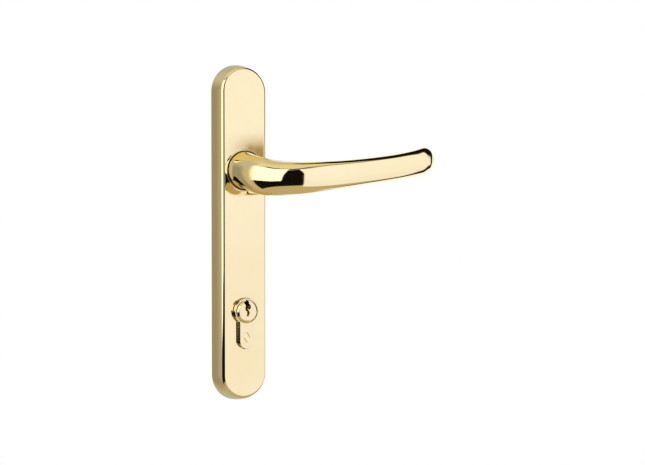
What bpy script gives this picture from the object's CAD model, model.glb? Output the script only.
"""Lever handle on a long backplate, with its return spring and a pinned euro profile cylinder.

The shapes are in millimetres about the plug axis: x runs across the plate, with the lever
reaching towards +x, y runs through it, with the outer face towards -y and the rear rim at
y = 0, and z is up. new_object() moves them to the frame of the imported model: metres, with
z from the foot of the plate.
"""
import math

import bmesh
import bpy
import numpy as np
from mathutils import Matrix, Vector


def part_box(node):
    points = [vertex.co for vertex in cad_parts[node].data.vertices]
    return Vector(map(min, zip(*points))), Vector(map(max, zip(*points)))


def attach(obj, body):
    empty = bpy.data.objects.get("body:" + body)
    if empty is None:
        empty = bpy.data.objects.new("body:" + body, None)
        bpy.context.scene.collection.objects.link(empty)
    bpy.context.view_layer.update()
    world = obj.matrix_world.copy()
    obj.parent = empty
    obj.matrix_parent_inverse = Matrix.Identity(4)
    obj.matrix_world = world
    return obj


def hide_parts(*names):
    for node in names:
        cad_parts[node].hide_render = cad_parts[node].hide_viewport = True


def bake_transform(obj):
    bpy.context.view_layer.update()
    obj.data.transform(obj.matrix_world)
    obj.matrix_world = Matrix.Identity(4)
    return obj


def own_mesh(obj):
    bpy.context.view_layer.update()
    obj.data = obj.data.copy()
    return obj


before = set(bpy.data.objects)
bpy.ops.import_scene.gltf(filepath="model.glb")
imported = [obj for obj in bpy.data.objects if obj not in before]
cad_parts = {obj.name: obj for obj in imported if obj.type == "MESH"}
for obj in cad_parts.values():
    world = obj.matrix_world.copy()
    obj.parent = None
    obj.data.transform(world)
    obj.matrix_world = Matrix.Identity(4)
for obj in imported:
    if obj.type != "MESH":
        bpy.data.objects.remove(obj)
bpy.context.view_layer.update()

MM = 0.001
SCENE = bpy.context.scene


def axis_height(node):
    """Height of a CAD node's middle above the foot of the plate, mm."""
    low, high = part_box(node)
    return round(500 * (low.z + high.z), 2)


PLUG_Z = axis_height("plug")                  # plug axis above the foot of the plate
LEVER_Z = axis_height("spindle") - PLUG_Z     # lever axis above the plug axis
LEVER_AXIS = (0, LEVER_Z)

PLATE_MID = 51.0            # z of the plate's middle
PLATE_HALF = 92.6           # from there to the centre of each round end
PLATE_RADIUS = 18.4         # half width at the rear rim
PLATE_FACE = -12.3
BOSS_FACE = -13.8           # front of the round boss at the lever
LUG_HEIGHTS = (142.0, 20.0)
CASSETTE_SCREW_PITCH = 18   # cassette screws above and below the lever axis

M5 = dict(major=2.5, minor=2.1, pitch=0.8)


# ---------------------------------------------------------------- outlines and solids
def new_object(vertices, faces):
    """A mesh object with its faces turned outwards."""
    vertices = np.asarray(vertices, float)
    points = vertices.tolist()
    faces = [list(map(int, face)) for face in faces]
    signed = 0.0
    for face in faces:
        a = points[face[0]]
        for i in range(1, len(face) - 1):
            b, c = points[face[i]], points[face[i + 1]]
            signed += (a[0] * (b[1] * c[2] - b[2] * c[1]) + a[1] * (b[2] * c[0] - b[0] * c[2])
                       + a[2] * (b[0] * c[1] - b[1] * c[0]))
    if signed <= 0:
        faces = [face[::-1] for face in faces]
    mesh = bpy.data.meshes.new("piece")
    mesh.from_pydata(((vertices + (0, 0, PLUG_Z)) * MM).tolist(), [], faces)
    mesh.update()
    ob = bpy.data.objects.new("piece", mesh)
    SCENE.collection.objects.link(ob)
    return ob


def fillet(points, steps=5):
    """Points (u, v) or (u, v, radius), each one with a radius rounded to steps + 1 points."""
    out = []
    for i, corner in enumerate(points):
        p = np.array(corner[:2], float)
        radius = corner[2] if len(corner) > 2 else 0.0
        if radius <= 0:
            out.append(p)
            continue
        back = np.array(points[i - 1][:2], float) - p
        ahead = np.array(points[(i + 1) % len(points)][:2], float) - p
        back_length, ahead_length = np.linalg.norm(back), np.linalg.norm(ahead)
        u, v = back / back_length, ahead / ahead_length
        angle = math.acos(np.clip(u @ v, -1, 1))
        if angle > math.pi - 1e-3 or angle < 1e-3:
            out.append(p)
            continue
        # the arc takes at most 0.48 of either neighbouring edge
        reach = min(radius / math.tan(angle / 2), 0.48 * back_length, 0.48 * ahead_length)
        r = reach * math.tan(angle / 2)
        centre = p + (u + v) / np.linalg.norm(u + v) * r / math.sin(angle / 2)
        start, end = (p + u * reach - centre) / r, (p + v * reach - centre) / r
        sweep = math.acos(np.clip(start @ end, -1, 1))
        for k in range(steps + 1):
            f = k / steps
            blend = math.sin((1 - f) * sweep) * start + math.sin(f * sweep) * end
            out.append(centre + r * blend / math.sin(sweep))
    return [tuple(q) for q in out]


def grow(outline, distance):
    """Offsets a closed outline along its own normals."""
    P = np.asarray(outline, float)
    before, after = P - np.roll(P, 1, 0), np.roll(P, -1, 0) - P
    before /= np.linalg.norm(before, axis=1)[:, None] + 1e-12
    after /= np.linalg.norm(after, axis=1)[:, None] + 1e-12
    area = 0.5 * np.sum(P[:, 0] * np.roll(P[:, 1], -1) - np.roll(P[:, 0], -1) * P[:, 1])
    side = 1 if area > 0 else -1
    tangent = before + after
    tangent /= np.linalg.norm(tangent, axis=1)[:, None] + 1e-12
    normal = np.stack([tangent[:, 1], -tangent[:, 0]], -1) * side
    edge_normal = np.stack([before[:, 1], -before[:, 0]], -1) * side
    mitre = 1 / np.clip(np.sum(normal * edge_normal, axis=1), 0.5, 1)
    return P + normal * distance * mitre[:, None]


def ring(outline, y, offset=0.0, arc_steps=5):
    """An outline in x and z, filleted, grown by the offset and set at depth y."""
    return np.insert(grow(fillet(outline, arc_steps), offset), 1, y, axis=1)


def angles(count):
    return np.linspace(0, 2 * np.pi, count, endpoint=False)


def circle(radius, height, cos, sin, axis, centre):
    """Points round an x, y or z axis; the centre is given in the other two coordinates."""
    u, v = centre[0] + radius * cos, centre[1] + radius * sin
    h = np.full_like(cos, height)
    return np.stack({"x": (h, u, v), "y": (u, h, v), "z": (u, v, h)}[axis], -1)


def lathe(profile, segments, arc_steps=5, axis="y", centre=(0, 0)):
    """A turned form from (radius, height, corner radius) points.

    The profile runs from axis to axis, or is a closed loop off the axis.
    """
    profile = fillet(profile, arc_steps)
    cos, sin = np.cos(angles(segments)), np.sin(angles(segments))
    vertices, faces, rows = [], [], []
    for radius, height in profile:
        count = 1 if radius < 1e-6 else segments
        rows.append((len(vertices), count))
        vertices += circle(radius, height, cos[:count], sin[:count], axis, centre).tolist()
    closed = rows[0][1] > 1
    for k in range(len(rows) if closed else len(rows) - 1):
        (a, a_count), (b, b_count) = rows[k], rows[(k + 1) % len(rows)]
        for i in range(segments):
            j = (i + 1) % segments
            if a_count == 1:
                faces.append([a, b + j, b + i])
            elif b_count == 1:
                faces.append([a + i, a + j, b])
            else:
                faces.append([a + i, a + j, b + j, b + i])
    return new_object(vertices, faces)


def turned(profile, segments, arc_steps=5, axis="y", centre=(0, 0)):
    """A turned solid with flat ends, which close from the profile's end points to the axis."""
    ends = (0, profile[0][1]), (0, profile[-1][1])
    return lathe([ends[0], *profile, ends[1]], segments, arc_steps, axis, centre)


def loft(rings):
    """A skin through rings of equal point count, capped at both ends."""
    rings = [np.asarray(r, float) for r in rings]
    n = len(rings[0])
    faces = []
    for k in range(len(rings) - 1):
        for i in range(n):
            j = (i + 1) % n
            faces.append([k * n + i, k * n + j, (k + 1) * n + j, (k + 1) * n + i])
    faces.append(list(range(n))[::-1])
    faces.append([(len(rings) - 1) * n + i for i in range(n)])
    return new_object(np.concatenate(rings), faces)


def prism(outline, y0, y1, edges=(0, 0), edge_steps=4, corner_steps=3):
    """An outline in x and z from y0 to y1, with its two end edges rounded."""
    outline = fillet(outline, corner_steps)
    rings = []
    for edge, y, side in ((edges[0], y0, 1), (edges[1], y1, -1)):
        steps = range(edge_steps + 1) if edge else [edge_steps]
        part = []
        for k in steps:
            a = math.pi / 2 * k / edge_steps
            depth = y + side * edge * (1 - math.cos(a))
            part.append(ring(outline, depth, -edge * (1 - math.sin(a))))
        rings += part[::side]
    return loft(rings)


def rectangle(x0, x1, z0, z1, corner=0.0):
    return [(x0, z0, corner), (x1, z0, corner), (x1, z1, corner), (x0, z1, corner)]


def box(x_range, y_range, z_range, corner=0.0):
    return prism(rectangle(*x_range, *z_range, corner), *y_range)


def lever_square(half, y_range, corner):
    """A square bar on the lever axis."""
    return box((-half, half), y_range, (LEVER_Z - half, LEVER_Z + half), corner)


def tube(path, radius, sides):
    """A round wire along a path, with softly rounded ends."""
    P = np.asarray(path, float)
    T = np.gradient(P, axis=0)
    T /= np.linalg.norm(T, axis=1)[:, None]
    normal = np.cross(T[0], [0.3, 0.5, 0.8])
    normal /= np.linalg.norm(normal)
    frames = []
    for tangent in T:
        normal = normal - (normal @ tangent) * tangent
        normal /= np.linalg.norm(normal)
        frames.append((normal.copy(), np.cross(tangent, normal)))
    cos, sin = np.cos(angles(sides)), np.sin(angles(sides))

    def section(k, full=1.0, way=1):
        u, v = frames[k]
        centre = P[k] + way * T[k] * radius * 0.55 * (1 - full)
        return centre + radius * math.sqrt(full) * (np.outer(cos, u) + np.outer(sin, v))

    taper = (0.25, 0.62, 0.88)
    rings = [section(0, full, -1) for full in taper]
    rings += [section(k) for k in range(len(P))]
    rings += [section(-1, full) for full in taper[::-1]]
    return loft(rings)


def thread(major, minor, pitch, ends, segments, axis, centre):
    """A rod with a helical thread, eight rings to the pitch."""
    h0, h1 = ends
    count = max(2, int(round((h1 - h0) / pitch * 8)))
    t = angles(segments)
    rings = []
    for k in range(count + 1):
        h = h0 + (h1 - h0) * k / count
        phase = (h / pitch - t / (2 * np.pi)) % 1.0
        radius = minor + (major - minor) * np.clip(1.25 - np.abs(phase - 0.5) * 2.5, 0, 1)
        rings.append(circle(radius, h, np.cos(t), np.sin(t), axis, centre))
    return loft(rings)


# ---------------------------------------------------------------- joining and cutting
def volume(mesh):
    """Volume in cubic millimetres."""
    bm = bmesh.new()
    bm.from_mesh(mesh)
    result = bm.calc_volume()
    bm.free()
    return result * 1e9


def combine(ob, operation, others):
    """Applies booleans at once and removes the other objects."""
    for other in others:
        before = volume(ob.data)
        for solver in ("MANIFOLD", "EXACT"):
            # guards against a solver that is missing or rejects a mesh; the exact one is next
            try:
                modifier = ob.modifiers.new("b", "BOOLEAN")
                modifier.operation, modifier.object, modifier.solver = operation, other, solver
                graph = bpy.context.evaluated_depsgraph_get()
                mesh = bpy.data.meshes.new_from_object(ob.evaluated_get(graph), depsgraph=graph)
                ob.modifiers.clear()
                after = volume(mesh)
                if operation == "UNION":
                    plausible = after >= before - 1e-3
                else:
                    plausible = 1e-6 < after <= before + 1e-3
                if len(mesh.polygons) and plausible:
                    old, ob.data = ob.data, mesh
                    bpy.data.meshes.remove(old)
                    break
            except Exception:
                ob.modifiers.clear()
        bpy.data.objects.remove(other, do_unlink=True)


def cut(ob, *cutters):
    combine(ob, "DIFFERENCE", cutters)


def join(ob, *others):
    combine(ob, "UNION", others)


def keep_inside(ob, limit):
    combine(ob, "INTERSECT", [limit])


# ---------------------------------------------------------------- node graphs
class Graph:
    """A material's or world's nodes; an input takes a value or another node's output."""

    def __init__(self, owner):
        owner.use_nodes = True
        self.tree = owner.node_tree
        self.tree.nodes.clear()

    def set(self, socket, value):
        if isinstance(value, bpy.types.NodeSocket):
            self.tree.links.new(value, socket)
        else:
            socket.default_value = (*value, 1.0) if socket.type == "RGBA" else value

    def node(self, kind, inputs=None, **settings):
        node = self.tree.nodes.new(kind)
        for key, value in settings.items():
            setattr(node, key, value)
        for key, value in (inputs or {}).items():
            self.set(node.inputs[key], value)
        return node

    def math(self, operation, *values):
        inputs = dict(enumerate(values))
        return self.node("ShaderNodeMath", inputs, operation=operation).outputs[0]

    def ramp(self, value, start, end, low=0.0, high=1.0, kind="SMOOTHSTEP"):
        """Goes from low to high as the value goes from start to end."""
        inputs = dict(enumerate((value, start, end, low, high)))
        return self.node("ShaderNodeMapRange", inputs, interpolation_type=kind).outputs[0]

    def mix(self, factor, under, over):
        inputs = {0: factor, 6: under, 7: over}
        return self.node("ShaderNodeMix", inputs, data_type="RGBA").outputs[2]

    def noise(self, vector, scale, detail, roughness=0.5):
        inputs = {"Vector": vector, "Scale": scale, "Detail": detail, "Roughness": roughness}
        return self.node("ShaderNodeTexNoise", inputs).outputs["Fac"]

    def emission(self, colour):
        return self.node("ShaderNodeEmission", {"Color": colour, "Strength": 1.0}).outputs[0]

    def output(self, shader, kind="ShaderNodeOutputMaterial"):
        self.node(kind, {0: shader})


# ---------------------------------------------------------------- finishes
def finish(name, tones, rough, tone_scale, grain_scale, bump, bump_mm, grain=(1.0, 1.0, 1.0),
           metallic=1.0, coat=0.0, pores=0.0, pore_scale=0.0, stain=None):
    """A metal or polymer, textured in the metres of the model.

    The colour drifts between two tones, and a fine grain, stretched along the axis where
    grain is smallest, lies in roughness and height. Pores, a stain (colour and amount) and
    a clear coat are optional.
    """
    material = bpy.data.materials.new(name)
    g = Graph(material)
    place = g.node("ShaderNodeTexCoord").outputs["Object"]
    stretched = g.node("ShaderNodeMapping", {"Vector": place, "Scale": grain}).outputs[0]
    slow = g.noise(place, tone_scale, detail=4.0, roughness=0.55)
    fine = g.noise(stretched, grain_scale, detail=5.0, roughness=0.6)
    cloud = g.noise(place, tone_scale * 3.7, detail=3.0)
    colour = g.mix(g.ramp(slow, 0.32, 0.68), *tones)
    if stain:
        amount = g.math("MULTIPLY", g.ramp(cloud, 0.52, 0.75), stain[3])
        colour = g.mix(amount, colour, stain[:3])
    smoothest, roughest = rough
    roughness = g.math("ADD", g.ramp(cloud, 0.3, 0.7, smoothest, roughest),
                       g.ramp(fine, 0.35, 0.7, 0.0, (roughest - smoothest) * 0.8))
    height = fine
    if pores:
        cells = g.node("ShaderNodeTexVoronoi", {"Vector": place, "Scale": pore_scale})
        pit = g.ramp(cells.outputs["Distance"], 0.05, 0.32)
        # a second noise leaves pits only here and there
        gate = g.ramp(g.noise(place, pore_scale * 0.6, detail=2.0), 0.45, 0.6)
        gated = g.math("MULTIPLY", g.math("SUBTRACT", 1.0, pit), gate)
        pit = g.math("SUBTRACT", 1.0, gated)
        height = g.math("ADD", g.math("MULTIPLY", fine, 0.4), g.math("MULTIPLY", pit, pores))
        darkening = g.math("MULTIPLY", g.math("SUBTRACT", 1.0, pit), 0.45)
        colour = g.mix(darkening, colour, [0.35 * x for x in tones[0]])
    relief = g.node("ShaderNodeBump",
                    {"Strength": bump, "Distance": bump_mm * MM, "Height": height})
    inputs = {"Metallic": metallic, "IOR": 1.5, "Base Color": colour, "Roughness": roughness,
              "Normal": relief.outputs[0]}
    if coat:
        inputs.update({"Coat Weight": coat, "Coat Roughness": 0.03,
                       "Coat Tint": (1.0, 0.97, 0.88)})
    g.output(g.node("ShaderNodeBsdfPrincipled", inputs).outputs[0])
    return material


FINISHES = {
    "polished_brass": finish(
        "lacquered_polished_brass", tones=((0.925, 0.780, 0.455), (0.935, 0.800, 0.490)),
        rough=(0.025, 0.05), tone_scale=45, grain=(1, 1, 0.05), grain_scale=900,
        bump=0.02, bump_mm=0.002, coat=0.35),
    "cast_inside": finish(
        "as_cast_inside", tones=((0.50, 0.43, 0.28), (0.60, 0.53, 0.37)), metallic=0.85,
        rough=(0.42, 0.6), tone_scale=90, grain_scale=1500,
        bump=0.5, bump_mm=0.05, pores=0.6, pore_scale=1300),
    "cylinder_brass": finish(
        "fine_turned_brass", tones=((0.90, 0.755, 0.44), (0.915, 0.785, 0.48)),
        rough=(0.04, 0.07), tone_scale=80, grain=(0.08, 1, 1), grain_scale=2600,
        bump=0.05, bump_mm=0.003, coat=0.15),
    "cylinder_flank": finish(
        "drawn_profile_flank", tones=((0.24, 0.17, 0.075), (0.34, 0.25, 0.12)),
        rough=(0.26, 0.38), tone_scale=110, grain=(1, 0.06, 1), grain_scale=2600,
        bump=0.15, bump_mm=0.006),
    "pin_brass": finish(
        "turned_pin_brass", tones=((0.80, 0.62, 0.30), (0.88, 0.70, 0.38)),
        rough=(0.16, 0.26), tone_scale=300, grain=(0.15, 0.15, 1), grain_scale=4200,
        bump=0.3, bump_mm=0.01),
    "pin_steel": finish(
        "turned_pin_steel", tones=((0.56, 0.565, 0.57), (0.68, 0.68, 0.675)),
        rough=(0.16, 0.26), tone_scale=300, grain=(0.15, 0.15, 1), grain_scale=4200,
        bump=0.3, bump_mm=0.01),
    "zinc_casting": finish(
        "zinc_die_casting", tones=((0.44, 0.45, 0.455), (0.56, 0.565, 0.56)), metallic=0.95,
        rough=(0.36, 0.52), tone_scale=120, grain_scale=1600,
        bump=0.45, bump_mm=0.03, pores=0.45, pore_scale=1700),
    "zinc_plated_steel": finish(
        "zinc_plated_steel", tones=((0.62, 0.64, 0.66), (0.74, 0.73, 0.69)),
        rough=(0.18, 0.30), tone_scale=160, grain=(1, 0.2, 1), grain_scale=2200,
        bump=0.2, bump_mm=0.008, stain=(0.70, 0.60, 0.46, 0.25)),
    "spring_steel": finish(
        "drawn_spring_steel", tones=((0.24, 0.245, 0.26), (0.34, 0.34, 0.345)),
        rough=(0.22, 0.36), tone_scale=260, grain_scale=3600,
        bump=0.3, bump_mm=0.006, stain=(0.20, 0.15, 0.12, 0.35)),
    "sintered_nickel": finish(
        "sintered_nickel_plate", tones=((0.58, 0.565, 0.52), (0.68, 0.66, 0.60)),
        rough=(0.26, 0.40), tone_scale=200, grain_scale=2600,
        bump=0.35, bump_mm=0.012, pores=0.8, pore_scale=3200),
    "black_nylon": finish(
        "moulded_black_nylon", tones=((0.010, 0.010, 0.011), (0.020, 0.020, 0.021)),
        metallic=0.0, rough=(0.38, 0.55), tone_scale=150, grain_scale=2600,
        bump=0.35, bump_mm=0.01),
}


def complete(ob, name, node, body, slot, angle, second=None, weighted=True):
    """Cleans and shades a piece, names it, and puts it on its body in its CAD node's place.

    The angle, in degrees, is where an edge turns sharp.
    """
    bm = bmesh.new()
    bm.from_mesh(ob.data)
    bmesh.ops.remove_doubles(bm, verts=bm.verts, dist=2e-7)
    bmesh.ops.dissolve_degenerate(bm, edges=bm.edges, dist=1e-7)
    bm.to_mesh(ob.data)
    bm.free()
    ob.data.polygons.foreach_set("use_smooth", [True] * len(ob.data.polygons))
    ob.data.set_sharp_from_angle(angle=math.radians(angle))
    if weighted:
        normals = ob.modifiers.new("normals", "WEIGHTED_NORMAL")
        normals.mode, normals.weight, normals.keep_sharp = "FACE_AREA", 60, True
    ob.name = name
    ob.data.name = name
    ob.data.materials.clear()
    ob.data.materials.append(FINISHES[slot])
    if second:
        ob.data.materials.append(FINISHES[second])
    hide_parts(node)
    if body:
        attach(ob, body)


# ---------------------------------------------------------------- shared outlines
def stadium(radius, y):
    """The plate's outline, straight sided with round ends, at depth y."""
    t = np.linspace(0, np.pi, 57)
    x, rise, depth = radius * np.cos(t), radius * np.sin(t), np.full_like(t, y)
    top = np.stack([x, depth, PLATE_MID + PLATE_HALF + rise], -1)
    bottom = np.stack([-x, depth, PLATE_MID - PLATE_HALF - rise], -1)
    return np.concatenate([top, bottom])


def euro(grown=0.0):
    """The euro profile: round head, straight leg, rounded foot, and a fillet under the head."""
    head, leg, root, foot_z = 8.5, 5.0, 0.9, -19.5
    root_x = leg + root
    root_z = -math.sqrt((head + root) ** 2 - root_x ** 2)
    phi = math.atan2(root_z, root_x)

    def arc(x, z, radius, start, end, count):
        return [(x + radius * math.cos(t), z + radius * math.sin(t))
                for t in np.linspace(start, end, count)]

    points = arc(0, 0, head + grown, phi, math.pi - phi, 96)
    points += arc(-root_x, root_z, root - grown, -phi, 0, 9)[1:]
    points += arc(0, foot_z, leg + grown, math.pi, 2 * math.pi, 40)
    points += arc(root_x, root_z, root - grown, math.pi, math.pi + phi, 9)[:-1]
    return points


def open_ring(middle_z, gap_angle, radii, half_gaps, counts, corner, y_range):
    """A flat ring with a gap and rounded ends; each pair is outer, then inner."""
    edges = []
    for radius, half_gap, count in zip(radii, half_gaps, counts):
        sweep = np.linspace(gap_angle + half_gap, gap_angle + 2 * math.pi - half_gap, count)
        edges.append([(radius * math.cos(a), middle_z + radius * math.sin(a)) for a in sweep])
    outline = []
    for edge in (edges[0], edges[1][::-1]):
        outline += [(*edge[0], corner), *edge[1:-1], (*edge[-1], corner)]
    return prism(outline, *y_range, edges=(0.1, 0.1), edge_steps=3, corner_steps=4)


# ---------------------------------------------------------------- backplate
def plate_profile():
    """(radius, y) from the rear rim to the face: crowned side, tight shoulder, wide arc."""
    tight_radius, wide_radius = 1.7, 3.2
    turn, side_turn = math.radians(28), math.radians(70)
    wide = [(13.9 + wide_radius * math.sin(a), PLATE_FACE + wide_radius * (1 - math.cos(a)))
            for a in np.linspace(0, turn, 12)]
    tight = [(wide[-1][0] + tight_radius * (math.sin(a) - math.sin(turn)),
              wide[-1][1] + tight_radius * (math.cos(turn) - math.cos(a)))
             for a in np.linspace(turn, side_turn, 14)[1:]]
    top_radius, top_y = tight[-1]
    crown = 0.30
    side = []
    for k in range(1, 13):
        f = k / 12
        radius = PLATE_RADIUS + (top_radius - PLATE_RADIUS) * f + crown * math.sin(math.pi * f)
        side.append((radius, top_y * f))
    rim = [(17.6, 0.0), (PLATE_RADIUS, 0.0, 0.35)]
    return fillet(rim + side + tight[-2::-1] + wide[-2::-1], 8)


def euro_cutter():
    """The profile with clearance, flaring round a lip towards the boss face."""
    clearance, lip_y = 0.25, -11.95
    rings = [(clearance, 2.0), (clearance, lip_y)]
    for k in range(1, 7):
        a = math.pi / 2 * k / 6
        rings.append((clearance + 0.33 * (1 - math.cos(a)), lip_y - 0.35 * math.sin(a)))
    rings.append((0.58, -13.0))
    return loft([ring(euro(grown), y) for grown, y in rings])


def build_backplate():
    shell = loft([stadium(r, y) for r, y in plate_profile()])
    hollow = fillet([(16.1, 1.0), (13.8, -9.8, 1.2), (10.0, -9.8)], 8)
    cut(shell, loft([stadium(r, y) for r, y in hollow]))
    # cross ribs, kept inside the shell
    for z in (127, 53, 35, -36):
        rib = box((-17.2, 17.2), (-10.2, -4.5), (z - 0.7, z + 0.7))
        keep_inside(rib, loft([stadium(r, y) for r, y in ((18.1, -0.1), (15.3, -11.2))]))
        join(shell, rib)
    # boss round the lever, fixing lugs and cassette screw posts
    boss = [(13.7, -11.5), (13.7, BOSS_FACE, 0.4), (0, BOSS_FACE)]
    join(shell, lathe([(0, -11.5), *boss], 192, 8, centre=LEVER_AXIS))
    for z in LUG_HEIGHTS:
        lug = [(6.6, -10.3), (5.0, -8.7, 1.4), (5.0, 7.0, 0.4), (0, 7.0)]
        join(shell, lathe([(0, -10.3), *lug], 72, 6, centre=(0, z)))
    for side in (1, -1):
        post = [(4.2, -10.3), (3.0, -9.1, 1.0), (3.0, -3.6, 0.25), (0, -3.6)]
        centre = (0, LEVER_Z + side * CASSETTE_SCREW_PITCH)
        join(shell, lathe([(0, -10.3), *post], 56, centre=centre))
    # bore and seat for the lever, with a softened lip
    bore = [(10.2, 1), (10.2, -13.2), (13.1, -13.2), (13.1, BOSS_FACE, 0.15),
            (13.6, BOSS_FACE), (13.6, -15)]
    cut(shell, turned(bore, 192, centre=LEVER_AXIS))
    cut(shell, euro_cutter())
    # M5 threads in the lugs, pilot holes in the posts
    for z in LUG_HEIGHTS:
        cut(shell, thread(**M5, ends=(-8.4, 8.0), segments=32, axis="y", centre=(0, z)))
        cut(shell, turned([(2.15, 6.45), (2.75, 7.05), (2.75, 8)], 48, centre=(0, z)))
    for side in (1, -1):
        centre = (0, LEVER_Z + side * CASSETTE_SCREW_PITCH)
        cut(shell, turned([(1.1, -8.8), (1.35, -8.4), (1.35, 0)], 32, centre=centre))
    complete(shell, "backplate_casting", "backplate", "housing", "polished_brass", angle=32,
             second="cast_inside")
    # the hollow and what stands behind the rim keep their as-cast skin
    for face in shell.data.polygons:
        x, y, z = (1000 * c for c in face.center)
        past_middle = max(0.0, abs(z - PLUG_Z - PLATE_MID) - PLATE_HALF)
        from_spine = math.hypot(x, past_middle)
        wall = PLATE_RADIUS - 2.6 * y / PLATE_FACE
        if y > -11.2 and (from_spine < wall - 1.3 or y > 0.3):
            face.material_index = 1


# ---------------------------------------------------------------- lever
# stations from the plate to the tip: x and y of the centre line, centre above the lever
# axis, half height, half thickness, exponent of the superellipse section
LEVER_STATIONS = np.array([
    [0, -13.95, 0, 12.45, 12.45, 2], [0, -14.9, -0.02, 12.3, 12.25, 2],
    [0, -16.5, -0.12, 11.95, 11.6, 2], [0, -18.8, -0.5, 11.7, 11.0, 2.02],
    [0.1, -22.2, -1.4, 11.75, 10.55, 2.05], [0.7, -26.5, -2.6, 11.95, 10.2, 2.1],
    [2.1, -31, -3.65, 12.05, 9.8, 2.15], [4.8, -35.6, -4.4, 12.0, 9.2, 2.22],
    [8.8, -39.8, -5.05, 11.5, 8.55, 2.32], [14, -43.2, -5.3, 11.15, 7.9, 2.45],
    [20.4, -45.8, -5.25, 10.93, 7.3, 2.6], [28, -47.6, -4.83, 10.62, 6.8, 2.8],
    [37, -48.7, -4.0, 10.3, 6.4, 3.0], [47, -49.3, -3.05, 9.92, 6.15, 3.15],
    [58, -49.55, -1.87, 9.6, 6.0, 3.25], [69, -49.55, -0.55, 9.42, 5.9, 3.3],
    [80, -49.3, 0.82, 9.36, 5.8, 3.3], [90, -48.9, 2.2, 9.34, 5.75, 3.3],
    [99, -48.5, 3.62, 9.48, 5.7, 3.25], [106, -48.1, 4.87, 9.66, 5.65, 3.2],
    [111.5, -47.7, 5.96, 9.92, 5.6, 3.15], [115.5, -47.4, 6.85, 9.95, 5.55, 3.1],
    [118.4, -47.2, 7.35, 9.2, 5.45, 3.05], [120.5, -47.05, 7.55, 8.15, 5.25, 3.0],
    [122.1, -46.95, 7.55, 6.6, 4.85, 2.9], [123.1, -46.9, 7.45, 4.6, 4.1, 2.7],
    [123.7, -46.85, 7.35, 2.2, 2.4, 2.4]])
FINE_FROM = 20      # station where the closer spacing towards the tip begins
SECTION_POINTS = 144


def natural_spline(s, y, q):
    """A natural cubic spline through each column of y at s, read at q."""
    step = np.diff(s)
    lhs, rhs = np.zeros((len(s), len(s))), np.zeros((len(s), y.shape[1]))
    lhs[0, 0] = lhs[-1, -1] = 1
    for i in range(1, len(s) - 1):
        lhs[i, i - 1:i + 2] = step[i - 1], 2 * (step[i - 1] + step[i]), step[i]
        rhs[i] = 6 * ((y[i + 1] - y[i]) / step[i] - (y[i] - y[i - 1]) / step[i - 1])
    bend = np.linalg.solve(lhs, rhs)
    k = np.clip(np.searchsorted(s, q, side="right") - 1, 0, len(s) - 2)
    h, a, b = ((s[k + 1] - s[k])[:, None], (s[k + 1] - q)[:, None], (q - s[k])[:, None])
    return (bend[k] * a ** 3 / (6 * h) + bend[k + 1] * b ** 3 / (6 * h)
            + (y[k] / h - bend[k] * h / 6) * a + (y[k + 1] / h - bend[k + 1] * h / 6) * b)


def lever_section(station, direction):
    """A superellipse square to the direction, its points evenly spread along the outline."""
    x, y, rise, half_height, half_width, power = station
    t = angles(SECTION_POINTS * 12)
    across = half_width * np.sign(np.cos(t)) * np.abs(np.cos(t)) ** (2 / power)
    up = half_height * np.sign(np.sin(t)) * np.abs(np.sin(t)) ** (2 / power)
    across, up = np.r_[across, across[0]], np.r_[up, up[0]]
    length = np.r_[0, np.cumsum(np.hypot(np.diff(across), np.diff(up)))]
    even = np.linspace(0, length[-1], SECTION_POINTS, endpoint=False)
    across, up = np.interp(even, length, across), np.interp(even, length, up)
    return np.stack([x + direction[1] * across, y - direction[0] * across,
                     LEVER_Z + rise + up], -1)


def build_lever():
    path = LEVER_STATIONS[:, :2]
    s = np.r_[0, np.cumsum(np.hypot(np.diff(path[:, 0]), np.diff(path[:, 1])))]
    q = np.concatenate([np.linspace(0, s[FINE_FROM], 210),
                        np.linspace(s[FINE_FROM], s[-1], 60)[1:]])
    stations = natural_spline(s, LEVER_STATIONS, q)
    directions = np.gradient(stations[:, :2], q, axis=0)
    directions /= np.linalg.norm(directions, axis=1)[:, None]
    directions[0] = (0, -1)
    sections = [lever_section(*pair) for pair in zip(stations, directions)]
    # shank behind the neck, with the same point count so that both are one skin; it
    # stands in for the neck's first millimetre
    around = np.arctan2(sections[0][:, 2] - LEVER_Z, sections[0][:, 0])
    shank = fillet([(7.0, -3.4), (9.0, -3.4, 0.3), (9.0, -13.95, 0.25),
                    (12.45, -13.95, 0.2), (12.3, -14.9)], 5)
    rings = [circle(r, y, np.cos(around), np.sin(around), "y", LEVER_AXIS) for r, y in shank]
    rings += [section for section, along in zip(sections, q) if along > 1.0]
    # the last section shrinks to a small flat: share of its size, distance beyond it
    tip = sections[-1]
    middle = tip.mean(0)
    for share, beyond in ((0.75, 0.10), (0.45, 0.17), (0.15, 0.20)):
        rings.append(middle + (tip - middle) * share + np.r_[directions[-1], 0.0] * beyond)
    lever = loft(rings)
    join(lever, lever_square(6.0, (-4.4, -0.5), corner=0.5))
    # clip groove, then the spindle socket
    groove = rectangle(6.5, 12, -1.62, -0.93)
    cut(lever, lathe(groove, 96, centre=LEVER_AXIS))
    cut(lever, lever_square(4.15, (-24.2, 2), corner=0.25))
    complete(lever, "lever_handle", "lever", "lever", "polished_brass", angle=40)


# ---------------------------------------------------------------- parts round the lever axis
def build_bush():
    profile = [(9.1, -9.9, 0.25), (10.1, -9.9, 0.25), (10.1, -13.25, 0.15),
               (13.0, -13.25, 0.12), (13.0, -13.75, 0.15), (9.1, -13.75, 0.2)]
    bush = lathe(profile, 144, centre=LEVER_AXIS)
    complete(bush, "lever_bush_ring", "lever_bush", "housing", "black_nylon", angle=40)


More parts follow.
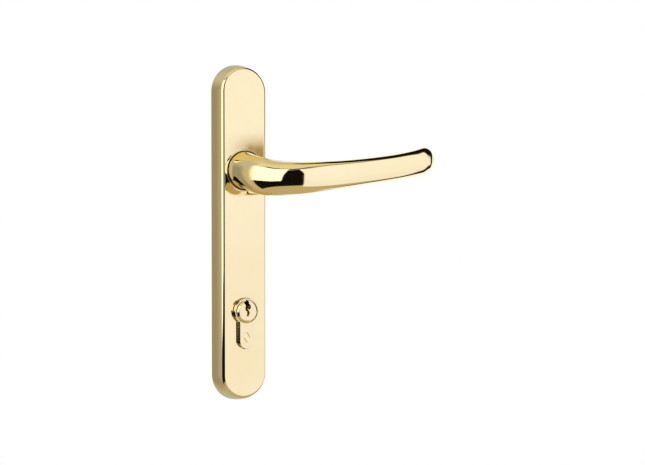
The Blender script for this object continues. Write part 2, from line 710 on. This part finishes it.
def build_cassette():
    """Cup for the return spring, with a screw ear above and below and a window underneath."""
    profile = [(9.35, -8.55, 0.15), (12.2, -8.55, 0.5), (12.2, -1.2, 0.2),
               (13.2, -1.2, 0.2), (13.2, -9.55, 0.6), (9.35, -9.55, 0.2)]
    cup = lathe(profile, 144, centre=LEVER_AXIS)
    radius = 3.4
    for side in (1, -1):
        z, root_z = LEVER_Z + side * CASSETTE_SCREW_PITCH, LEVER_Z + side * 12.6
        end = [(-radius * math.cos(t), z + side * radius * math.sin(t))
               for t in np.linspace(0.12, math.pi - 0.12, 25)]
        ear = [(-radius, root_z), (-radius, z), *end, (radius, z), (radius, root_z)]
        join(cup, prism(ear, -3.5, -2.2, edges=(0.15, 0.15), edge_steps=3))
        hole = [(1.75, -6), (1.75, -2.35), (2.0, -2.1), (2.0, 0)]
        cut(cup, turned(hole, 40, centre=(0, z)))
    cut(cup, box((-1.6, 1.6), (-8.2, -3.6), (LEVER_Z - 14, LEVER_Z - 11)))
    complete(cup, "spring_cassette_cup", "spring_cassette", "housing", "zinc_casting", angle=38)


def build_cassette_screws():
    """Pan-head screws with a tapered cross recess in the rear of the head."""
    profile = [(0, -2.4), (1.2, -2.4), (1.2, -2.14), (2.7, -2.14, 0.12), (2.7, -1.45, 0.5),
               (1.7, -0.68, 0.3), (0, -0.66)]
    for number, side in ((1, 1), (2, -1)):
        z = LEVER_Z + side * CASSETTE_SCREW_PITCH
        screw = lathe(profile, 48, centre=(0, z))
        join(screw, thread(major=1.25, minor=0.98, pitch=0.55, ends=(-8.0, -2.3), segments=28,
                           axis="y", centre=(0, z)))
        for half_x, half_z in ((1.7, 0.33), (0.33, 1.7)):
            cut(screw, loft([
                ring(rectangle(-half_x * f, half_x * f, z - half_z * f, z + half_z * f), y)
                for f, y in ((0.55, -1.55), (1.0, -0.4))]))
        complete(screw, f"cassette_screw_{number}_panhead", f"cassette_screw_{number}",
                 "housing", "zinc_plated_steel", angle=35)


def build_return_spring():
    """A coil whose front end stays with the housing and whose rear end turns with the lever."""
    radius, front_y, pitch, turns = 10.6, -7.65, 1.55, 2.25
    t = np.linspace(0, 1, 190)
    a = -math.pi / 2 + 2 * math.pi * turns * t
    coil = np.stack([radius * np.cos(a), front_y + pitch * turns * t,
                     LEVER_Z + radius * np.sin(a)], -1)
    spring = tube(coil, radius=0.74, sides=18)
    complete(spring, "return_spring_coil", "return_spring", None, "spring_steel", angle=60,
             weighted=False)
    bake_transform(spring)


def build_driver():
    """Disc with a square hole, a flat above and below, and four small holes."""
    profile = [(11.6, -3.25, 0.18), (11.6, -1.75, 0.18)]
    plate = turned(profile, 120, 4, centre=LEVER_AXIS)
    cut(plate, lever_square(12.15 / 2, (-6, 2), corner=0.45))
    for low, high in ((10.6, 14), (-14, -10.6)):
        cut(plate, box((-4, 4), (-6, 2), (LEVER_Z + low, LEVER_Z + high)))
    hole_circle = 10.05
    for degrees in (45, 135, 225, 315):
        a = math.radians(degrees)
        centre = (hole_circle * math.cos(a), LEVER_Z + hole_circle * math.sin(a))
        cut(plate, turned([(0.9, -6), (0.9, 0)], 32, centre=centre))
    complete(plate, "spring_driver_plate", "spring_driver", "lever", "zinc_plated_steel",
             angle=35)


def build_lever_clip():
    half_gap = 0.47
    clip = open_ring(LEVER_Z, math.pi / 2, radii=(9.35, 6.7),
                     half_gaps=(half_gap * 0.72, half_gap), counts=(90, 80), corner=0.4,
                     y_range=(-1.57, -0.98))
    complete(clip, "lever_circlip", "lever_clip", "lever", "spring_steel", angle=40)


def build_spindle():
    """Square bar with chamfered ends."""
    half = 4.0
    rings = []
    for inset, y in ((0.75, -24.0), (0.0, -23.2), (0.0, 24.2), (0.75, 25.0)):
        outline = rectangle(-half + inset, half - inset, LEVER_Z - half + inset,
                            LEVER_Z + half - inset, corner=0.35)
        rings.append(ring(outline, y))
    complete(loft(rings), "square_spindle", "spindle", "lever", "zinc_plated_steel", angle=30)


# ---------------------------------------------------------------- euro cylinder
PIN_DEPTHS = (-11.2, -7.6, -4.0, -0.4, 3.2)     # y of each pin chamber
PIN_TIPS = (-1.7, -0.5, -1.3, 0.1, -0.9)        # z of each bottom pin's tip
CHAMBER_RADIUS = 1.35
PIN_RADIUS = 1.25
FIXING_HOLE = (11.5, -19.4)                     # y and z of the cross hole in the leg

# keyway: x, z
KEYWAY = [(-2.3, 9), (-2.3, 5.0), (-1.35, 4.6), (-1.5, 2.9), (-1.75, 1.5), (-1.1, 0.6),
          (-0.5, 0.1), (-0.35, -0.9), (-0.65, -2.9), (0.35, -3.1), (1.25, -1.3), (1.0, 0.1),
          (0.2, 1.1), (-0.4, 1.9), (0.3, 2.2), (0.7, 1.5), (1.6, 1.4), (2.15, 2.6),
          (1.9, 4.2), (0.95, 4.9), (0.95, 9)]

# cam lobe, pointing down before it is turned: x, z, corner radius
CAM_LOBE = [(-5.3, -5.7), (-3.75, -8.3, 1.6), (-3.6, -13.4, 0.6), (-2.2, -14.85, 0.8),
            (0, -15.2), (2.2, -14.85, 0.8), (3.6, -13.4, 0.6), (3.75, -8.3, 1.6), (5.3, -5.7)]


def mark_groove():
    """Cutter for a lozenge-shaped groove on the front of the leg."""
    lozenge = [(0, -13.6, 0.4), (2.1, -17.0, 0.3), (0, -20.4, 0.4), (-2.1, -17.0, 0.3)]
    outer, inner = (
        loft([ring(lozenge, y, offset, arc_steps=4) for offset, y in rings])
        for rings in (((0.42, -15.8), (0.28, -15.5), (0.0, -15.22)),
                      ((-0.42, -15.9), (-0.28, -15.5), (0.01, -15.21), (0.01, -15.1))))
    cut(outer, inner)
    return outer


def build_cylinder_body():
    body = prism(euro(), -15.5, 19.5, edges=(0.22, 0.12), edge_steps=5)
    # stepped plug bore, cam slot, rear bore
    bore = [(7.75, -17), (7.75, -15.5), (7.55, -15.3, 0.1), (7.55, -14.3, 0.1),
            (6.6, -14.3, 0.1), (6.6, 7.3)]
    cut(body, turned(bore, 144, 3))
    cut(body, box((-12, 12), (6.3, 16.7), (-15.6, 12)))
    cut(body, turned([(4.15, 15.7), (4.15, 19.2), (4.5, 19.55), (4.5, 20.5)], 96))
    # bevel round the rear of the head
    bevel = lathe([(6.9, 19.6), (12, 19.6), (12, 17.9), (8.6, 17.9)], 120)
    keep_inside(bevel, box((-12, 12), (10, 24), (-6.6, 12)))
    cut(body, bevel)
    chamber = [(1.5, -26), (1.5, -24.62), (CHAMBER_RADIUS, -24.4), (CHAMBER_RADIUS, -4)]
    for y in PIN_DEPTHS:
        cut(body, turned(chamber, 40, axis="z", centre=(0, y)))
    cut(body, thread(**M5, ends=(-8, 8), segments=36, axis="x", centre=FIXING_HOLE))
    for side in (1, -1):
        sink = [(2.2, side * 4.4), (2.9, side * 5.1), (2.9, side * 6)]
        cut(body, turned(sink, 48, axis="x", centre=FIXING_HOLE))
    cut(body, mark_groove())
    complete(body, "cylinder_body_half", "cylinder_body", "housing", "cylinder_brass",
             angle=30, second="cylinder_flank")
    # flanks near the front take the darker finish
    for face in body.data.polygons:
        if abs(face.normal.y) < 0.4 and face.center.y * 1000 < -9:
            face.material_index = 1


def build_plug():
    profile = [
        (0, -16.78), (5.2, -16.74), (6.15, -16.62, 0.18), (7.05, -15.6, 0.1),
        (7.14, -15.4, 0.12), (7.14, -14.4, 0.1), (6.45, -14.4, 0.05), (6.45, 6.2, 0.2),
        (5.0, 6.2, 0.1), (5.0, 6.6, 0.05), (4.4, 6.6, 0.05), (4.4, 7.4, 0.05),
        (5.0, 7.4, 0.05), (5.0, 8.8, 0.3), (0, 8.8)]
    plug = lathe(profile, 144, 4)
    keyway = [(x, z, 0.16) for x, z in KEYWAY]
    # the keyway widens at its mouth
    cut(plug, loft([ring(keyway, y, offset, arc_steps=3) for offset, y in
                    ((0.14, -17.2), (0.14, -16.75), (0.0, -16.5), (0.0, 5.6))]))
    pin_hole = [(0, -8), (CHAMBER_RADIUS, -8), (CHAMBER_RADIUS, 2.0), (0, 2.4)]
    for y in PIN_DEPTHS:
        cut(plug, lathe(pin_hole, 36, axis="z", centre=(0, y)))
    # slot across the rear end
    cut(plug, box((-1.3, 1.3), (7.7, 9.8), (-6, 6)))
    complete(plug, "key_plug", "plug", "plug", "cylinder_brass", angle=28)


def build_plug_clip():
    half_gap = 0.36
    clip = open_ring(0, -math.pi / 2, radii=(7.25, 4.5), half_gaps=(half_gap, half_gap * 1.2),
                     counts=(80, 60), corner=0.35, y_range=(6.66, 7.34))
    complete(clip, "plug_circlip", "plug_clip", "plug", "spring_steel", angle=40)


def build_cam():
    """Ring and lobe in one, with a key slot inside the top."""
    y0, y1 = 7.75, 16.25
    turn = math.radians(30)
    cos, sin = math.cos(turn), math.sin(turn)
    cam = lathe([(5.1, y0, 0.2), (7.8, y0, 0.25), (7.8, y1, 0.25), (5.1, y1, 0.2)], 144, 4)
    outline = [(x * cos - z * sin, x * sin + z * cos) for x, z in fillet(CAM_LOBE, 6)]
    lobe = prism(outline, y0, y1, edges=(0.25, 0.25))
    cut(lobe, turned([(5.6, 5), (5.6, 18)], 96))
    join(cam, lobe)
    cut(cam, box((-1.1, 1.1), (10, 17.5), (3, 6.4)))
    complete(cam, "cam_with_lobe", "cam", "cam", "sintered_nickel", angle=32)


def build_coupling():
    """Drum inside the cam, with a front tongue, a key on top and a dimple in the rear."""
    profile = [(5.0, 9.15, 0.25), (5.0, 16.25, 0.2), (4.05, 16.25, 0.1), (4.05, 19.3, 0.35),
               (0, 19.3)]
    drum = lathe([(0, 9.15), *profile], 96, 4)
    join(drum, box((-1.2, 1.2), (8.0, 10), (-4.2, 4.2)))
    join(drum, box((-1.0, 1.0), (10.3, 16.2), (3, 6.2)))
    cut(drum, lathe([(0, 18.6), (0.5, 18.9), (1.0, 19.4), (0, 19.4)], 32))
    complete(drum, "cam_coupling_drum", "cam_coupling", "cam", "sintered_nickel", angle=32)


def build_pin_spring(number, y):
    """Coil under a top pin, wound closer at its ends; it shortens as the pin slides down."""
    foot_z, top_z, length, travel = -21.9, -11.7, 10.2, 2.5
    end_inset = 0.22
    radius, turns = 0.98, 7
    t = np.linspace(0, 1, 200)
    share = np.interp(t, [0, 0.13, 0.87, 1], [0, 0.055, 0.945, 1])
    a = 2 * math.pi * turns * t
    z0, z1 = foot_z + end_inset, top_z - end_inset
    coil = np.stack([radius * np.cos(a), y + radius * np.sin(a), z0 + (z1 - z0) * share], -1)
    spring = tube(coil, radius=0.19, sides=10)
    complete(spring, f"pin_spring_{number}_coil", f"pin_spring_{number}", "housing",
             "spring_steel", angle=60, weighted=False)
    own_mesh(spring)


def build_pin_stack(number, y, tip):
    """One chamber: bottom pin with a pointed tip, waisted top pin, spring and cap."""
    bottom = [(PIN_RADIUS, -6.3, 0.28), (PIN_RADIUS, tip - 0.9, 0.12), (0.42, tip, 0.25)]
    pin = turned(bottom, 56, axis="z", centre=(0, y))
    complete(pin, f"bottom_pin_{number}", f"key_pin_{number}", f"key_pin_{number}",
             "pin_brass", angle=40)
    top = [(0.8, -11.6, 0.1), (0.8, -11.35, 0.05), (PIN_RADIUS, -11.1, 0.15),
           (PIN_RADIUS, -9.9, 0.1), (1.02, -9.6, 0.1), (1.02, -8.4, 0.1),
           (PIN_RADIUS, -8.1, 0.1), (PIN_RADIUS, -6.62, 0.25)]
    # the foot's rounded corner runs from the axis
    pin = lathe([(0, -11.6), (0.8, -11.6, 0.1), *top[1:], (0, -6.62)], 56, 4, "z", (0, y))
    complete(pin, f"top_pin_{number}", f"driver_pin_{number}", f"driver_pin_{number}",
             "pin_steel", angle=40)
    build_pin_spring(number, y)
    profile = [(0, -24.15), (1.3, -24.15, 0.15), (1.3, -22.1, 0.15), (0.55, -22.1, 0.05),
               (0.35, -22.5), (0, -22.6)]
    cap = lathe(profile, 48, 4, axis="z", centre=(0, y))
    complete(cap, f"chamber_cap_{number}", f"chamber_plug_{number}", "housing", "pin_brass",
             angle=40)


build_backplate()
build_lever()
build_bush()
build_cassette()
build_cassette_screws()
build_return_spring()
build_driver()
build_lever_clip()
build_spindle()
build_cylinder_body()
build_plug()
build_plug_clip()
build_cam()
build_coupling()
for index, (pin_y, pin_tip) in enumerate(zip(PIN_DEPTHS, PIN_TIPS)):
    build_pin_stack(index + 1, pin_y, pin_tip)


# ---------------------------------------------------------------- studio
def tent_material(centre):
    """Light painted on the tent by direction from its centre.

    The bearing is 0 in front (-y), 90 at the left (-x), -90 at the right and 180 behind;
    both it and the elevation are in degrees. Each mask is a product of soft edges.
    """
    material = bpy.data.materials.new("studio_tent")
    g = Graph(material)
    position = g.node("ShaderNodeNewGeometry").outputs["Position"]
    ray = g.node("ShaderNodeVectorMath", {0: position, 1: centre}, operation="SUBTRACT")
    unit = g.node("ShaderNodeVectorMath", {0: ray.outputs[0]}, operation="NORMALIZE")
    x, y, z = g.node("ShaderNodeSeparateXYZ", {0: unit.outputs[0]}).outputs
    leftward, forward = g.math("MULTIPLY", x, -1.0), g.math("MULTIPLY", y, -1.0)
    bearing = g.math("DEGREES", g.math("ARCTAN2", leftward, forward))
    elevation = g.math("DEGREES", g.math("ARCSINE", z))
    rise = g.ramp

    def fall(angle, start, end):
        return g.math("SUBTRACT", 1.0, g.ramp(angle, start, end))

    def lean(angle, slope, other):
        return g.math("ADD", angle, g.math("MULTIPLY", other, slope))

    def product(first, *rest):
        return g.math("MULTIPLY", first, product(*rest)) if rest else first

    def paint(under, over, *mask):
        return g.mix(product(*mask), under, over)

    # tent: warm floor bounce, paler middle, warmer zenith
    light = paint((0.55, 0.47, 0.29), (0.84, 0.79, 0.60), rise(elevation, -20, 18))
    light = paint(light, (0.66, 0.58, 0.38), rise(elevation, 55, 85))
    # side wall at the left rear, from warm through grey to brown, paler at the top
    wall = paint((0.62, 0.50, 0.29), (0.62, 0.555, 0.42),
                 rise(bearing, 100, 117, kind="LINEAR"))
    wall = paint(wall, (0.35, 0.325, 0.26), rise(bearing, 117, 131, kind="LINEAR"))
    wall = paint(wall, (0.42, 0.35, 0.21), rise(bearing, 138, 156))
    wall = paint(wall, (0.58, 0.575, 0.51), rise(elevation, 12, 36))
    light = paint(light, wall, rise(bearing, 90, 104), fall(bearing, 150, 176),
                  fall(elevation, 48, 74), rise(elevation, -60, -30))
    # backdrop behind: grey, a white band across it, and a dark strip low in the middle
    behind = g.math("MAXIMUM", fall(bearing, -152, -140), rise(bearing, 146, 172))
    light = paint(light, (0.50, 0.52, 0.50), behind, rise(elevation, -62, -48),
                  fall(elevation, 60, 74))
    light = paint(light, (0.92, 1.0, 1.12), behind, rise(elevation, -42, -18),
                  fall(elevation, 10, 26))
    middle = g.math("MAXIMUM", fall(bearing, -164, -156), rise(bearing, 168, 176))
    light = paint(light, (0.12, 0.10, 0.05), middle, rise(elevation, -32, -27),
                  fall(elevation, -15, -10))
    # bright backdrop at the right
    right = product(rise(bearing, -154, -146), fall(bearing, -62, -56))
    light = paint(light, (1.10, 1.22, 1.56), right, rise(elevation, -62, -48),
                  fall(elevation, 58, 72))
    # dark flag between the front screen and the right backdrop
    screen_edge = lean(bearing, -0.28, g.math("MAXIMUM", elevation, 0.0))
    flag_edge = g.math("ADD", lean(bearing, 1.0, rise(elevation, -8, 12, 0.0, 14.0)),
                       rise(elevation, 30, 48, 0.0, 16.0))
    light = paint(light, (0.006, 0.006, 0.006), fall(screen_edge, -53, -50),
                  rise(flag_edge, -62, -57), rise(elevation, -50, -44),
                  fall(elevation, 64, 72))
    # front screen, up to the gap for the lens
    lens_edge = lean(bearing, -1.0, rise(elevation, 4, 26, 0.0, 5.0))
    screen = g.mix(rise(elevation, -10, 6), (1.02, 1.02, 1.15), (1.07, 1.10, 1.27))
    light = paint(light, screen, rise(screen_edge, -53, -50), fall(lens_edge, -9.4, -7.6),
                  rise(elevation, -27, -22), fall(elevation, 27, 31))
    # small warm card and its core on the front screen, for rays over about 1.08 m only, so
    # that the grip, nearer the screen than the plate, does not show them
    ray_length = g.node("ShaderNodeLightPath").outputs["Ray Length"]
    far = rise(ray_length, 1.07, 1.09)
    card = product(rise(elevation, 1.9, 2.6), fall(elevation, 3.0, 4.8),
                   rise(bearing, -29.6, -28.2), fall(bearing, -27.0, -24.0), far)
    light = paint(light, (0.55, 0.41, 0.20), card, 0.85)
    core = product(rise(elevation, 1.8, 2.2), fall(elevation, 3.2, 3.8),
                   rise(bearing, -29.6, -28.6), fall(bearing, -26.4, -26.0), far)
    light = paint(light, (0.40, 0.27, 0.10), core, 0.9)
    # dark batten above the lens gap and the key light, climbing to the left
    past_front = g.math("MAXIMUM", g.math("SUBTRACT", bearing, 5.0), 0.0)
    batten = g.math("ADD", 29.5, g.math("MULTIPLY", past_front, 0.26))
    off_batten = g.math("ABSOLUTE", g.math("SUBTRACT", elevation, batten))
    light = paint(light, (0.02, 0.018, 0.012), fall(off_batten, 1.6, 3.6),
                  rise(bearing, -30, -8), fall(bearing, 54, 66))
    # dark rail above the front screen
    rail = product(rise(elevation, 30, 32), fall(elevation, 35, 38),
                   rise(bearing, -48, -42), fall(bearing, -14, -6))
    light = paint(light, (0.05, 0.04, 0.02), rail, 0.7)
    # dark strip high at the front right
    strip = product(rise(elevation, 60, 66), fall(elevation, 76, 81),
                    rise(bearing, -80, -62), fall(bearing, -32, -20))
    light = paint(light, (0.03, 0.025, 0.015), strip, 0.9)
    # dark gap for the lens, running on under the key light
    gap_floor = g.math("ADD", lean(elevation, 0.33, bearing), 21.6)
    light = paint(light, (0.006, 0.006, 0.005), rise(lens_edge, -9.4, -7.6),
                  fall(bearing, 92, 96), rise(gap_floor, -1.6, 1.6), fall(elevation, 24, 28))
    # key light at the front left
    key_floor = g.math("SUBTRACT", lean(elevation, 0.05, bearing),
                       rise(bearing, 30, 50, 2.5, 0.0))
    light = paint(light, (1.5, 1.5, 1.5), rise(lean(bearing, 0.38, elevation), 22, 25),
                  fall(bearing, 84, 112), fall(lean(elevation, -0.13, bearing), 28.5, 32),
                  rise(key_floor, -9.2, -7.2))
    g.output(g.emission(light))
    # guards against a build where materials have no Cycles settings
    try:
        material.cycles.emission_sampling = "NONE"
    except Exception:
        pass
    return material


def build_tent():
    centre = Vector((0.0, -0.03, (PLUG_Z + LEVER_Z) * MM))
    bpy.ops.mesh.primitive_uv_sphere_add(segments=96, ring_count=48, radius=1.1,
                                         location=centre)
    tent = bpy.context.object
    tent.name = "studio_tent"
    tent.visible_camera = tent.visible_shadow = False
    tent.data.materials.append(tent_material(centre))
    return tent


def build_floor():
    """White floor well below, seen only by the camera and only from above."""
    bpy.ops.mesh.primitive_plane_add(size=3.0, location=(0, 0, -0.35))
    floor = bpy.context.object
    floor.name = "pale_floor"
    material = bpy.data.materials.new("pale_floor")
    g = Graph(material)
    backfacing = g.node("ShaderNodeNewGeometry").outputs["Backfacing"]
    clear = g.node("ShaderNodeBsdfTransparent").outputs[0]
    shader = g.node("ShaderNodeMixShader", {0: backfacing, 1: g.emission((1, 1, 1)), 2: clear})
    g.output(shader.outputs[0])
    floor.data.materials.append(material)
    floor.visible_glossy = floor.visible_diffuse = floor.visible_shadow = False
    return floor


def build_world():
    world = bpy.data.worlds.new("studio")
    SCENE.world = world
    g = Graph(world)
    white = g.node("ShaderNodeBackground", {"Color": (1, 1, 1), "Strength": 1.0})
    g.output(white.outputs[0], kind="ShaderNodeOutputWorld")


def build_camera():
    """Camera in front of the plate, to its left, and the plain view transform."""
    camera = bpy.data.objects.new("camera", bpy.data.cameras.new("camera"))
    SCENE.collection.objects.link(camera)
    camera.location = (-0.34015, -0.72232, 0.13120)
    direction = Vector((0.48929664, 0.87171101, -0.02662153))
    camera.rotation_mode = "QUATERNION"
    camera.rotation_quaternion = direction.to_track_quat("-Z", "Y")
    lens = camera.data
    lens.sensor_fit, lens.sensor_width, lens.lens = "HORIZONTAL", 36.0, 66.98
    lens.clip_start, lens.clip_end = 0.02, 20.0
    SCENE.camera = camera
    view = SCENE.view_settings
    view.view_transform, view.look = "Standard", "None"
    view.exposure, view.gamma = 0.0, 1.0


dome = build_tent()
floor = build_floor()
build_world()
build_camera()
